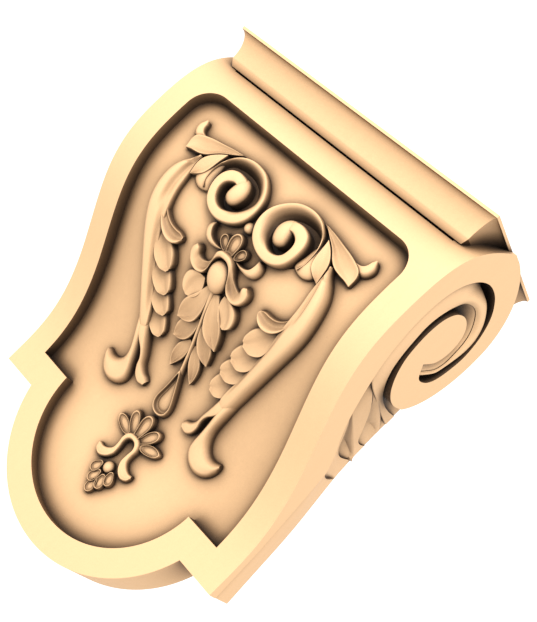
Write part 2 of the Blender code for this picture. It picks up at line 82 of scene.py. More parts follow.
# A dish: rings between two heights, and the small round at its foot
DISH_STEPS = 6
DISH_ROUND = 0.0016
DISH_LEAST = 0.0005

# Front curve seen from the side: three Bezier spans of (out, down)
ROLL_SPAN = ((0.2660, 0.0), (0.4274, 0.0825), (0.4620, 0.1501), (0.4620, 0.3321))
NECK_SPAN = ((0.4620, 0.3321), (0.4620, 0.4954), (0.3845, 0.5685), (0.2718, 0.7098))
SHIN_SPAN = ((0.2718, 0.7098), (0.1549, 0.8564), (0.1325, 0.9475), (0.1325, 1.0600))
SURFACE_START = 0.05
SURFACE_END = 1.5
# The flat band at each side: over the volute, down its back, in round the eye, and out to the foot
VOLUTE_TOP = ((0.2660, 0.0), (0.1300, -0.0100), (-0.0010, 0.0750), (-0.0010, 0.2150))
VOLUTE_BACK = ((-0.0010, 0.2150), (-0.0010, 0.3000), (0.0300, 0.4000), (0.1070, 0.4515))
EYE_EDGE = (
    (0.107, 0.4515), (0.150, 0.462), (0.190, 0.460), (0.230, 0.443), (0.265, 0.412), (0.290, 0.372),
    (0.301, 0.325), (0.302, 0.280), (0.292, 0.240), (0.270, 0.210), (0.240, 0.194), (0.210, 0.190),
    (0.180, 0.198), (0.156, 0.218), (0.144, 0.250), (0.147, 0.285), (0.165, 0.316), (0.203, 0.342),
)
BAND_EDGE = (
    (0.203, 0.342), (0.163, 0.371), (0.121, 0.363), (0.091, 0.336), (0.072, 0.290), (0.064, 0.235),
    (0.080, 0.175), (0.117, 0.127), (0.168, 0.100), (0.215, 0.092), (0.262, 0.098), (0.308, 0.121),
    (0.347, 0.160), (0.371, 0.208), (0.381, 0.262), (0.380, 0.322), (0.367, 0.392), (0.345, 0.450),
    (0.315, 0.508), (0.278, 0.566), (0.236, 0.614), (0.190, 0.655), (0.155, 0.700),
)
SHANK_EDGE = ((0.155, 0.700), (0.135, 0.800), (0.110, 0.950), (0.095, 1.1216))

# The curled leaf end in the channel: outer point, inner point, depths at the outer edge, middle, inner edge
CURL = (
    ((0.200, 0.380), (0.204, 0.350), 0.006, 0.006, 0.007),
    ((0.171, 0.366), (0.180, 0.357), 0.004, 0.004, 0.006),
    ((0.145, 0.351), (0.155, 0.344), 0.004, 0.003, 0.006),
    ((0.112, 0.326), (0.122, 0.320), 0.004, 0.003, 0.006),
    ((0.096, 0.295), (0.107, 0.289), 0.004, 0.003, 0.006),
    ((0.083, 0.263), (0.104, 0.255), 0.004, 0.003, 0.007),
    ((0.074, 0.229), (0.108, 0.217), 0.004, 0.003, 0.008),
    ((0.076, 0.193), (0.125, 0.187), 0.004, 0.003, 0.009),
    ((0.096, 0.161), (0.158, 0.164), 0.004, 0.003, 0.009),
    ((0.129, 0.138), (0.192, 0.154), 0.004, 0.003, 0.008),
    ((0.172, 0.120), (0.228, 0.157), 0.006, 0.003, 0.007),
    ((0.212, 0.113), (0.265, 0.172), 0.012, 0.003, 0.006),
    ((0.264, 0.111), (0.291, 0.199), 0.018, 0.003, 0.005),
    ((0.322, 0.120), (0.309, 0.227), 0.009, 0.003, 0.004),
    ((0.364, 0.160), (0.320, 0.258), 0.005, 0.003, 0.004),
    ((0.389, 0.216), (0.324, 0.290), 0.004, 0.003, 0.004),
    ((0.395, 0.275), (0.320, 0.325), 0.004, 0.003, 0.004),
    ((0.390, 0.343), (0.311, 0.362), 0.004, 0.003, 0.005),
    ((0.374, 0.410), (0.294, 0.401), 0.004, 0.004, 0.007),
    ((0.362, 0.440), (0.272, 0.426), 0.005, 0.006, 0.010),
    ((0.335, 0.463), (0.240, 0.447), 0.007, 0.010, 0.015),
    ((0.275, 0.478), (0.182, 0.467), 0.012, 0.018, 0.025),
    ((0.190, 0.486), (0.120, 0.475), 0.025, 0.029, 0.034),
    ((0.100, 0.494), (0.060, 0.474), 0.039, 0.041, 0.043),
    ((-0.014, 0.500), (-0.014, 0.466), 0.054, 0.054, 0.054),
)
# The hollow between that leaf end and the eye, in the same order
HOLLOW = (
    ((0.180, 0.357), (0.196, 0.335), 0.006, 0.008, 0.009),
    ((0.155, 0.344), (0.165, 0.316), 0.006, 0.011, 0.013),
    ((0.122, 0.320), (0.148, 0.285), 0.006, 0.014, 0.018),
    ((0.107, 0.289), (0.143, 0.250), 0.006, 0.017, 0.023),
    ((0.104, 0.255), (0.150, 0.228), 0.007, 0.020, 0.027),
    ((0.108, 0.217), (0.165, 0.208), 0.008, 0.021, 0.029),
    ((0.125, 0.187), (0.190, 0.192), 0.009, 0.021, 0.031),
    ((0.158, 0.164), (0.214, 0.188), 0.009, 0.022, 0.034),
    ((0.192, 0.154), (0.240, 0.192), 0.008, 0.025, 0.038),
    ((0.228, 0.157), (0.262, 0.202), 0.009, 0.030, 0.044),
    ((0.265, 0.172), (0.282, 0.222), 0.022, 0.040, 0.052),
    ((0.291, 0.199), (0.298, 0.250), 0.045, 0.053, 0.058),
)
# The fan below the volute, line by line from the band to the wall, with the depths at the two ends and
# that of the hollow on the way. A leaflet lies between a soft line and a sharp one. LEAFLET_ROWS are the
# shares of the way between the two, and of the sharp line's hollow.
FAN_HOLLOWS = (
    (((0.350, 0.452), (0.270, 0.466), (0.200, 0.479), (0.139, 0.491), (0.080, 0.503), (0.030, 0.515),
      (-0.014, 0.530)), 0.006, 0.0535),
    (((0.340, 0.468), (0.268, 0.478), (0.180, 0.508), (0.112, 0.551), (0.073, 0.580), (0.036, 0.585),
      (-0.014, 0.574)), 0.014, 0.0525, 0.050),
    (((0.326, 0.497), (0.262, 0.535), (0.212, 0.556), (0.152, 0.573), (0.100, 0.588), (0.048, 0.602),
      (-0.014, 0.620)), 0.030, 0.0520),
    (((0.318, 0.512), (0.256, 0.546), (0.205, 0.571), (0.165, 0.600), (0.124, 0.632), (0.075, 0.645),
      (-0.014, 0.627)), 0.032, 0.0515, 0.046),
    (((0.252, 0.605), (0.212, 0.630), (0.172, 0.650), (0.132, 0.660), (0.090, 0.665), (0.045, 0.671),
      (-0.014, 0.681)), 0.024, 0.0490),
    (((0.205, 0.652), (0.172, 0.675), (0.142, 0.690), (0.108, 0.704), (0.074, 0.710), (0.036, 0.705),
      (-0.014, 0.690)), 0.008, 0.0470, 0.006),
)
LEAFLET_ROWS = ((0.15, 0.08), (0.35, 0.28), (0.55, 0.42), (0.70, 0.44), (0.86, 1.0), (0.97, 1.15))
FAN_POINTS = 44
BEHIND_WALL = -0.014
# Below the fan: where a line leaves the band, its height at the wall, its depth there
SHANK = (
    ((0.145, 0.760), 0.840, 0.030),
    ((0.130, 0.850), 0.930, 0.022),
    ((0.110, 0.980), 1.030, 0.016),
    ((0.095, 1.1216), 1.1216, 0.010),
)

# Cap moulding: half-width and reach at its top, at the corner of the cove and at its foot; heights down
CAP_TOP = (0.4868, 0.4444)
CAP_CORNER = (0.4582, 0.4181)
CAP_FOOT = (0.4479, 0.4082)
FASCIA = 0.008
CAP_CORNER_DOWN = 0.0819
CAP_FOOT_DOWN = 0.0990
QUIRK = 0.006
QUIRK_FLOOR = 0.384

# Sunk panel on the front
PANEL_HALF = 0.420
PANEL_TOP = 0.172
PANEL_CORNER = 0.075
PANEL_STEP = 1.109
PANEL_NECK = 0.2987
PANEL_LOBE = 1.095
PANEL_RADIUS = 0.300

# The bowl sunk in each scroll: centre, radii, and the share of the outline at each height
WELL_CENTRE = (0.113, 0.344)
WELL_RADII = (0.087, 0.078)
WELL_RINGS = ((1.0, 0.010), (1.0, 0.0), (0.90, -0.0065), (0.70, -0.0105), (0.02, -0.0125))

# Material: the colour where it is open, and painted shade that darkens hollows and creases within a wide
# and a close reach, as the open part of the sky against the level of the colour
WOOD_COLOUR = (0.70, 0.44, 0.232)
PAINTED_HOLLOW_REACH = 0.050
PAINTED_HOLLOW_SHADES = (
    (0.30, 0.04), (0.45, 0.09), (0.55, 0.16), (0.65, 0.32), (0.75, 0.47), (0.85, 0.63), (0.93, 0.80),
    (0.99, 1.0),
)
# Painted shade keeps more red and less blue as it darkens
PAINTED_SHADE_TINT = (0.94, 1.06)
PAINTED_SHADE_SAMPLES = 16
PAINTED_CREASE_REACH = 0.009
PAINTED_CREASE_SHADES = ((0.35, 0.34), (0.55, 0.47), (0.70, 0.62), (0.84, 0.80), (0.94, 0.96), (0.99, 1.0))
STREAK_SCALE = 260.0
STREAK_STRETCH = (1.0, 1.0, 0.09)
SPECKLE_SCALE = 1500.0
STREAK = 0.05
SPECKLE = 0.13
BUMP = 0.12
BUMP_HEIGHT = 0.0002
ROUGHNESS = 0.62
SHEEN = 0.25

# Edges sharper than these angles stay sharp
BODY_ANGLE = 30
RELIEF_ANGLE = 38

# Room: light of the white walls, the floor disc, and the lamp as place, target, size and power
WORLD_LIGHT = 1.30
FLOOR_RADIUS = 0.8
FLOOR_DROP = 0.30
FLOOR_SIDES = 96
FLOOR_GREY = 0.64
FLOOR_ROUGHNESS = 0.9
KEY_LAMP = ((0.40, -1.45, 0.84), (0, -0.05, -0.02), 0.7, 30.0)

# Camera fitted to the photograph: its axes and place, and in pixels its focal length and centre
PHOTO_SIZE = (537, 622)
CAMERA_FOCAL = 1176.97
CAMERA_CENTRE = (275.0, 380.0)
CAMERA_SENSOR = 36.0
CAMERA_PLACE = (0.35416, -0.56172, -0.0291)
CAMERA_RIGHT = (0.61676, 0.34175, 0.70909)
CAMERA_DOWN = (0.60114, 0.37706, -0.70460)
CAMERA_AHEAD = (-0.50817, 0.86083, 0.02712)


def bezier(span, count):
    """Points along one cubic span, by Bernstein's weights."""
    t = np.linspace(0.0, 1.0, count)[:, None]
    a, b, c, d = (np.array(p) for p in span)
    return (1 - t) ** 3 * a + 3 * (1 - t) ** 2 * t * b + 3 * (1 - t) * t * t * c + t ** 3 * d


def through(points, u):
    """A Catmull-Rom curve through the points, read at the places u, where u counts points."""
    p = np.asarray(points, float)
    p = np.concatenate([2 * p[:1] - p[1:2], p, 2 * p[-1:] - p[-2:-1]])
    i = np.clip(np.floor(u).astype(int), 0, len(p) - 4)
    t = (u - i).reshape(np.shape(u) + (1,) * (p.ndim - 1))
    a, b, c, d = p[i], p[i + 1], p[i + 2], p[i + 3]
    square = 2 * a - 5 * b + 4 * c - d
    cube = -a + 3 * b - 3 * c + d
    return 0.5 * (2 * b + (c - a) * t + square * t * t + cube * t ** 3)


def smooth(points, count):
    """A Catmull-Rom curve through the points, evenly stepped in its own parameter."""
    return through(points, np.linspace(0, len(points) - 1, count))


def around(points, count):
    """The same curve through a closed ring of points, evenly stepped along its length."""
    p = np.asarray(points, float)
    p = np.concatenate([p[-2:], p, p[:3]])
    fine = through(p, np.linspace(2, len(p) - 3, 40 * len(points)))
    run = np.concatenate([[0], np.cumsum(np.linalg.norm(np.diff(fine, axis=0), axis=1))])
    at = np.linspace(0, run[-1], count, endpoint=False)
    return np.stack([np.interp(at, run, fine[:, k]) for k in (0, 1)], -1)


def front_curve(steps):
    """The front curve from the top of the roll to the foot, as (out, down)."""
    spans = [bezier(span, steps) for span in (ROLL_SPAN, NECK_SPAN, SHIN_SPAN)]
    return np.vstack([spans[0], spans[1][1:], spans[2][1:]])


def surface_table():
    """Distance along the front, position and outward normal, finely stepped."""
    curve = np.vstack([front_curve(400), [[FRONT_FLAT, SURFACE_END + 0.1]]])
    down = np.linspace(SURFACE_START, SURFACE_END, 3000)
    out = np.interp(down, curve[:, 1], curve[:, 0])
    run = np.concatenate([[0.0], np.cumsum(np.hypot(np.diff(down), np.diff(out)))])
    return run, out, down, np.gradient(down, run), np.gradient(out, run)


RUN, OUT, DOWN, FALL, LEAN = surface_table()


def place(across, along, lift):
    """A point on the panel floor raised by lift along the front's normal, below the flat top."""
    out = np.interp(along, RUN, OUT)
    down = np.interp(along, RUN, DOWN)
    step = lift - DEEP
    out = out + step * np.interp(along, RUN, FALL)
    down = down - step * np.interp(along, RUN, LEAN)
    return np.stack(np.broadcast_arrays(across, -out, -down), -1) * BODY_WIDTH


class Shells:
    """Closed bodies gathered for one mesh: rings of points, joined in rows and closed at both ends."""

    def __init__(self):
        """No bodies yet."""
        self.points = []
        self.corners = []
        self.sizes = []
        self.total = 0

    def add(self, rings):
        """Quads between neighbouring rings and a flat end on the first and last ring."""
        rings = np.asarray(rings, float)
        n, k, _ = rings.shape
        i = np.arange(n - 1)[:, None] * k
        j = np.arange(k)[None, :]
        nxt = (j + 1) % k
        quads = np.stack([i + j, i + nxt, i + k + nxt, i + k + j], -1).reshape(-1, 4)
        first = np.arange(k)[::-1]
        last = np.arange((n - 1) * k, n * k)
        flat = rings.reshape(-1, 3)
        a, b, c, d = (flat[quads[:, m]] for m in range(4))
        volume = np.einsum("ij,ij->", a, np.cross(b, c)) + np.einsum("ij,ij->", a, np.cross(c, d))
        for end in (first, last):
            p = flat[end]
            volume += np.einsum("ij,ij->", np.broadcast_to(p[0], p[1:-1].shape), np.cross(p[1:-1], p[2:]))
        if volume < 0:
            quads = quads[:, ::-1]
            first = first[::-1]
            last = last[::-1]
        self.points.append(flat)
        self.corners.append(np.concatenate([quads.ravel(), first, last]) + self.total)
        self.sizes.append(np.concatenate([np.full(len(quads), 4), [k, k]]))
        self.total += len(flat)

    def both(self, rings):
        """The body and its mirror image across the middle."""
        rings = np.asarray(rings, float)
        self.add(rings)
        self.add(rings * MIRROR)

    def mesh(self, name):
        """All the bodies as one smooth mesh, its middle height at the origin's."""
        points = np.concatenate(self.points) + np.array((0.0, 0.0, TOP_Z))
        corners = np.concatenate(self.corners).astype(np.int32)
        sizes = np.concatenate(self.sizes).astype(np.int32)
        made = bpy.data.meshes.new(name)
        made.vertices.add(len(points))
        made.vertices.foreach_set("co", points.astype(np.float32).ravel())
        made.loops.add(len(corners))
        made.loops.foreach_set("vertex_index", corners)
        made.polygons.add(len(sizes))
        starts = np.concatenate([[0], np.cumsum(sizes)[:-1]]).astype(np.int32)
        made.polygons.foreach_set("loop_start", starts)
        made.polygons.foreach_set("use_smooth", np.ones(len(sizes), bool))
        made.update(calc_edges=True)
        made.validate()
        return made


def new_piece(name, mesh):
    """An object at the origin that shows the mesh."""
    obj = bpy.data.objects.new(name, mesh)
    bpy.context.scene.collection.objects.link(obj)
    return obj


def blade(edge_a, edge_b, table, rows=40, columns=12, soft=0.004, base=0.35, root=ROOT):
    """Rings of a carved form that spans two edges on the panel.

    Point = edge_a(u) + v (edge_b(u) - edge_a(u)). Height = the table read smoothly at (u, v), times
    base + (1 - base) times a quarter ellipse within soft of each edge. The walls go down past the floor.
    """
    edge_a, edge_b = (smooth(e, rows) for e in (edge_a, edge_b))
    heights = smooth(table, rows)
    span = edge_b - edge_a
    wide = np.maximum(np.linalg.norm(span, axis=1), THIN)
    steps = np.array(EDGE_STEPS)
    near, far = soft if isinstance(soft, tuple) else (soft, soft)
    soft_b = np.minimum(far / wide, EDGE_MOST)
    soft_a = np.minimum(near / wide, 2 * EDGE_MOST - soft_b)
    inner = soft_a[:, None] + (1 - soft_a - soft_b)[:, None] * np.linspace(0, 1, columns)[None, 1:-1]
    v = np.concatenate([steps * soft_a[:, None], inner, 1 - steps[::-1] * soft_b[:, None]], 1)
    c = heights.shape[1]
    padded = np.concatenate([2 * heights[:, :1] - heights[:, 1:2], heights,
                             2 * heights[:, -1:] - heights[:, -2:-1]], 1)
    i = np.clip(np.floor(v * (c - 1)).astype(int), 0, c - 2)
    t = v * (c - 1) - i
    h0, h1, h2, h3 = (np.take_along_axis(padded, i + k, 1) for k in range(4))
    lift = 0.5 * (2 * h1 + (h2 - h0) * t + (2 * h0 - 5 * h1 + 4 * h2 - h3) * t * t
                  + (-h0 + 3 * h1 - 3 * h2 + h3) * t ** 3)
    inside = np.maximum(np.clip(1 - v / soft_a[:, None], 0, 1), np.clip(1 - (1 - v) / soft_b[:, None], 0, 1))
    rise = base + (1 - base) * np.sqrt(1 - inside ** 2)
    lift = lift * np.where(lift > 0, rise * RELIEF, 1.0)
    top = edge_a[:, None, :] + v[..., None] * span[:, None, :]
    away = span / wide[:, None] * FLARE
    foot_a = edge_a - away
    foot_b = edge_b + away
    xs = np.concatenate([top[..., 0], foot_b[:, :1], foot_a[:, :1]], 1)
    ss = np.concatenate([top[..., 1], foot_b[:, 1:], foot_a[:, 1:]], 1)
    lift = np.concatenate([lift, np.full((rows, 2), -root)], 1)
    return place(xs, ss, lift)


def dish(outline, rings, count=72, centre=None, flare=FLARE, root=ROOT):
    """Rings of a round form: the outline shrunk towards its centre by a share, at a height for each share.

    The heights between the given rings follow a smooth curve; the last ring closes the top.
    """
    ring = around(outline, count)
    middle = np.mean(ring, 0) if centre is None else np.array(centre)
    keys = np.array(rings, float)
    fine = smooth(keys, DISH_STEPS * (len(keys) - 1) + 1)
    share, lift = fine[:, 0], fine[:, 1] * RELIEF
    reach = np.linalg.norm(ring - middle, axis=1).mean()
    share = np.concatenate([[1 + flare / reach, 1.0], share])
    lift = np.concatenate([[-root, max(lift[0] - DISH_ROUND, DISH_LEAST)], lift])
    share[1] += 0.25 * flare / reach
    xy = middle + share[:, None, None] * (ring - middle)[None]
    return place(xy[..., 0], xy[..., 1], np.broadcast_to(lift[:, None], xy.shape[:2]))


def oval(centre, radii, count=24):
    """Points round an ellipse."""
    turn = np.linspace(0, 2 * math.pi, count, endpoint=False)
    return np.stack([centre[0] + radii[0] * np.sin(turn), centre[1] - radii[1] * np.cos(turn)], -1)


def petal_edge(root, tip, wide, blunt=0.62):
    """An almond outline from a narrow root to a blunter tip; wide is its half-width."""
    root, tip = np.array(root, float), np.array(tip, float)
    t = np.array((0.0, 0.22, 0.5, 0.74, 0.92, 1.0))
    half = wide * np.array((0.34, 0.72, 1.0, 0.96, blunt, 0.0))
    axis = (tip - root) / np.linalg.norm(tip - root)
    side = np.array((-axis[1], axis[0]))
    line = root + (tip - root) * t[:, None]
    return np.concatenate([line + half[:, None] * side, (line - half[:, None] * side)[-2::-1]])


def mirrored(points):
    """A half outline from the top middle to the bottom middle, closed by its mirror image."""
    p = np.asarray(points, float)
    back = p[::-1] * np.array((-1.0, 1.0))
    return np.concatenate([p, back[np.abs(back[:, 0]) > 1e-6]])


def rimmed(edge, crest, floor, middle):
    """Ring heights of a petal with a raised rim round a sunk middle."""
    return ((1.0, edge), (0.93, crest), (0.84, crest * 0.98), (0.70, floor), (0.40, middle), (0.02, middle))


def domed(high):
    """Ring heights of a dome."""
    turn = np.linspace(0, 1, 6)
    return tuple((max(math.cos(math.pi / 2 * t), 0.02), high * (0.30 + 0.70 * math.sin(math.pi / 2 * t)))
                 for t in turn)


def scrolls(made):
    """The two facing scrolls: an outer crest, a slope into a deep channel, a round tube and an eye."""
    outer = [(0.197, 0.394), (0.206, 0.372), (0.2075, 0.343), (0.203, 0.313), (0.188, 0.283), (0.163, 0.261),
             (0.133, 0.250), (0.100, 0.249), (0.066, 0.258), (0.036, 0.280), (0.013, 0.311), (0.005, 0.345),
             (0.011, 0.381), (0.031, 0.411), (0.062, 0.430), (0.098, 0.4375), (0.132, 0.431), (0.158, 0.413),
             (0.173, 0.386), (0.1785, 0.355), (0.174, 0.328), (0.160, 0.308), (0.138, 0.298), (0.115, 0.297),
             (0.095, 0.302), (0.082, 0.318)]
    inner = [(0.186, 0.390), (0.194, 0.369), (0.196, 0.343), (0.191, 0.318), (0.175, 0.297), (0.151, 0.286),
             (0.124, 0.283), (0.099, 0.286), (0.077, 0.295), (0.061, 0.310), (0.053, 0.327), (0.051, 0.346),
             (0.055, 0.365), (0.065, 0.382), (0.081, 0.395), (0.101, 0.4015), (0.120, 0.398), (0.134, 0.387),
             (0.141, 0.372), (0.1425, 0.357), (0.138, 0.345), (0.128, 0.337), (0.116, 0.3335), (0.105, 0.336),
             (0.096, 0.340), (0.094, 0.346)]
    slope = (0.0185, 0.0195, 0.0165, 0.0095, 0.001, -0.008)
    waist = (0.018, 0.0195, 0.02, 0.0185, 0.012, 0.001)
    tube = (0.019, 0.021, 0.0215, 0.0215, 0.0205, 0.018)
    top = (0.02, 0.0225, 0.0235, 0.024, 0.0235, 0.0215)
    rim = (0.018, 0.018, 0.015, 0.009, 0.001, -0.006)
    low = (0.012, 0.014, 0.015, 0.015, 0.015, 0.015)
    table = [rim, slope, slope, slope, slope, slope, waist, tube, tube, top, top, top, low]
    made.both(blade(outer, inner, table, 260, 18, (0.0075, 0.006), 0.12, SCROLL_ROOT))
    eye = [(0.118, 0.318), (0.121, 0.338), (0.123, 0.356), (0.121, 0.371), (0.108, 0.383), (0.091, 0.385),
           (0.075, 0.373), (0.066, 0.349), (0.068, 0.326), (0.079, 0.308), (0.096, 0.299), (0.110, 0.302)]
    made.both(dish(eye, domed(0.025), 96, (0.096, 0.342), root=SCROLL_ROOT))
    flap = [(0.198, 0.300), (0.222, 0.320), (0.240, 0.345), (0.246, 0.370), (0.238, 0.391), (0.217, 0.402),
            (0.193, 0.400), (0.176, 0.388), (0.184, 0.352), (0.190, 0.320)]
    made.both(dish(flap, domed(0.0155), 72, (0.211, 0.366)))


def scroll_well():
    """The bowl that is sunk inside each scroll: an oval shrunk by a share at each depth."""
    ring = oval(WELL_CENTRE, WELL_RADII, 72)
    shares = np.array(WELL_RINGS)
    middle = ring.mean(0)
    xy = middle + shares[:, :1, None] * (ring - middle)[None]
    return place(xy[..., 0], xy[..., 1], np.broadcast_to(shares[:, 1:], xy.shape[:2]))


def scroll_leaves(made):
    """The long leaf with its tendril, and the short leaf, growing from the scroll."""
    upper = [(0.160, 0.257), (0.198, 0.260), (0.239, 0.268), (0.279, 0.276), (0.309, 0.285), (0.327, 0.294),
             (0.335, 0.310), (0.334, 0.338)]
    lower = [(0.172, 0.262), (0.198, 0.279), (0.226, 0.297), (0.250, 0.319), (0.270, 0.331), (0.292, 0.336),
             (0.312, 0.338), (0.329, 0.342)]
    table = [(0.0165, 0.015, 0.0145, 0.017), (0.0185, 0.013, 0.0115, 0.019),
             (0.019, 0.0115, 0.01, 0.019), (0.0175, 0.012, 0.011, 0.017), (0.01, 0.011, 0.011, 0.011)]
    made.both(blade(upper, lower, table, 60, 16, (0.004, 0.005), 0.30))
    upper = [(0.170, 0.2565), (0.210, 0.261), (0.245, 0.268), (0.275, 0.276), (0.300, 0.281), (0.317, 0.2785),
             (0.3265, 0.269), (0.3295, 0.256), (0.334, 0.2465)]
    lower = [(0.176, 0.262), (0.212, 0.272), (0.247, 0.284), (0.282, 0.298), (0.312, 0.304), (0.337, 0.301),
             (0.352, 0.288), (0.356, 0.268), (0.345, 0.2475)]
    table = [(0.015, 0.0145, 0.013), (0.0155, 0.0135, 0.012), (0.0145, 0.013, 0.012),
             (0.014, 0.014, 0.013), (0.014, 0.015, 0.014), (0.013, 0.014, 0.013)]
    made.both(blade(upper, lower, table, 60, 14, (0.005, 0.011), 0.20))
    left = [(0.202, 0.287), (0.207, 0.315), (0.211, 0.342), (0.219, 0.364), (0.236, 0.378), (0.258, 0.3885)]
    right = [(0.206, 0.284), (0.228, 0.299), (0.247, 0.317), (0.259, 0.338), (0.2625, 0.362), (0.2625, 0.387)]
    table = [(0.0165, 0.0165, 0.0165), (0.018, 0.0145, 0.017), (0.0185, 0.013, 0.0175),
             (0.0175, 0.0125, 0.0165), (0.0125, 0.011, 0.0125)]
    made.both(blade(left, right, table, 50, 16, (0.004, 0.003), 0.35))


def stalks(made):
    """The long stalk that swings from the scroll to the foot, its two toes and its tongue."""
    outer = [(0.272, 0.330), (0.283, 0.348), (0.304, 0.372), (0.321, 0.402), (0.330, 0.44), (0.3325, 0.481),
             (0.329, 0.5223), (0.318, 0.5657), (0.302, 0.6102), (0.283, 0.6592), (0.264, 0.7071),
             (0.246, 0.7521), (0.229, 0.7954), (0.212, 0.8340), (0.199, 0.8470)]
    inner = [(0.257, 0.334), (0.259, 0.356), (0.259, 0.384), (0.259, 0.415), (0.260, 0.447), (0.258, 0.481),
             (0.253, 0.5172), (0.246, 0.5554), (0.237, 0.5998), (0.222, 0.6488), (0.205, 0.6987),
             (0.189, 0.7451), (0.174, 0.7883), (0.166, 0.8220), (0.173, 0.8420)]
    head = (0.015, 0.017, 0.0185, 0.0195, 0.0195, 0.0165, 0.015, 0.013)
    arm = (0.0225, 0.025, 0.0265, 0.0265, 0.0245, 0.016, 0.014, 0.0115)
    leg = (0.023, 0.025, 0.0265, 0.027, 0.026, 0.0235, 0.0165, 0.0135)
    foot = (0.0215, 0.023, 0.024, 0.024, 0.024, 0.0235, 0.022, 0.02)
    last = (0.019, 0.02, 0.0205, 0.021, 0.021, 0.0205, 0.02, 0.0185)
    table = [head, arm, arm, arm, leg, leg, leg, leg, foot, last]
    made.both(blade(outer, inner, table, 150, 28, (0.024, 0.005), 0.05))
    left = [(0.190, 0.7803), (0.180, 0.8225), (0.171, 0.8607), (0.163, 0.906), (0.156, 0.945),
            (0.1505, 0.973), (0.152, 0.997), (0.168, 1.018), (0.195, 1.0295), (0.223, 1.0285), (0.248, 1.015),
            (0.264, 0.992), (0.2675, 0.973)]
    right = [(0.226, 0.7954), (0.216, 0.8306), (0.2055, 0.8658), (0.1960, 0.903), (0.1955, 0.929),
             (0.201, 0.947), (0.209, 0.958), (0.219, 0.9655), (0.229, 0.9685), (0.239, 0.969), (0.248, 0.967),
             (0.256, 0.964), (0.262, 0.9635)]
    table = [(0.0155, 0.0165, 0.017, 0.0165, 0.015), (0.0208, 0.0232, 0.0238, 0.0232, 0.0205),
             (0.0208, 0.0232, 0.0238, 0.023, 0.0205), (0.019, 0.0215, 0.022, 0.0205, 0.0185),
             (0.0165, 0.0195, 0.0205, 0.0195, 0.017), (0.0155, 0.0185, 0.02, 0.0195, 0.018),
             (0.014, 0.016, 0.018, 0.018, 0.017), (0.011, 0.0125, 0.013, 0.013, 0.012)]
    made.both(blade(left, right, table, 120, 20, (0.014, 0.018), 0.10))
    left = [(0.183, 0.7702), (0.169, 0.8074), (0.156, 0.8426), (0.143, 0.8748), (0.132, 0.9009),
            (0.124, 0.925), (0.110, 0.94), (0.096, 0.946), (0.087, 0.953)]
    right = [(0.214, 0.7823), (0.204, 0.8225), (0.194, 0.8547), (0.178, 0.8748), (0.159, 0.8929),
             (0.1485, 0.915), (0.146, 0.94), (0.136, 0.962), (0.117, 0.9755), (0.095, 0.974)]
    table = [(0.012, 0.0135, 0.0135), (0.0195, 0.0224, 0.0224), (0.019, 0.0218, 0.021),
             (0.0165, 0.019, 0.018), (0.0145, 0.016, 0.0155), (0.0115, 0.0125, 0.012)]
    made.both(blade(left, right, table, 70, 14, (0.01, 0.007), 0.10))
    upper = [(0.268, 0.4789), (0.258, 0.5048), (0.241, 0.5223), (0.222, 0.5327), (0.202, 0.5358),
             (0.183, 0.5358), (0.168, 0.5409)]
    lower = [(0.274, 0.5068), (0.262, 0.5389), (0.243, 0.5626), (0.220, 0.5761), (0.195, 0.5781),
             (0.174, 0.5678), (0.163, 0.5513)]
    table = [(0.012, 0.012, 0.013, 0.0155, 0.017), (0.014, 0.0105, 0.011, 0.0175, 0.019),
             (0.0135, 0.0085, 0.0095, 0.019, 0.0205), (0.0135, 0.009, 0.0095, 0.019, 0.02),
             (0.012, 0.011, 0.012, 0.015, 0.015)]
    made.both(blade(upper, lower, table, 60, 20, (0.004, 0.006), 0.30))


def sprays(made):
    """Four overlapping leaflets inside each stalk, the upper ones lying on the lower."""
    upper = (
        [(0.232, 0.556), (0.198, 0.571), (0.173, 0.594), (0.160, 0.620), (0.1595, 0.635)],
        [(0.208, 0.622), (0.175, 0.638), (0.152, 0.661), (0.139, 0.686), (0.1395, 0.698)],
        [(0.188, 0.686), (0.155, 0.700), (0.133, 0.720), (0.120, 0.742), (0.1210, 0.752)],
        [(0.170, 0.738), (0.139, 0.755), (0.119, 0.777), (0.108, 0.801), (0.1090, 0.813)],
    )
    lower = (
        [(0.262, 0.560), (0.253, 0.603), (0.235, 0.640), (0.202, 0.659), (0.172, 0.656)],
        [(0.244, 0.620), (0.235, 0.662), (0.216, 0.701), (0.183, 0.723), (0.151, 0.718)],
        [(0.224, 0.680), (0.214, 0.722), (0.196, 0.757), (0.163, 0.776), (0.132, 0.772)],
        [(0.206, 0.735), (0.195, 0.780), (0.176, 0.817), (0.146, 0.836), (0.120, 0.833)],
    )
    for k, (a, b) in enumerate(zip(upper, lower)):
        high = 0.0205 - 0.0014 * k
        shape = np.array([(0.46, 0.48, 0.46, 0.54, 0.68), (0.60, 0.54, 0.42, 0.62, 0.90),
                          (0.80, 0.64, 0.50, 0.70, 1.04), (0.96, 0.80, 0.68, 0.84, 1.10),
                          (1.00, 0.94, 0.86, 0.96, 1.06)])
        made.both(blade(a, b, shape * high, 48, 18, (0.006, 0.005), 0.30))


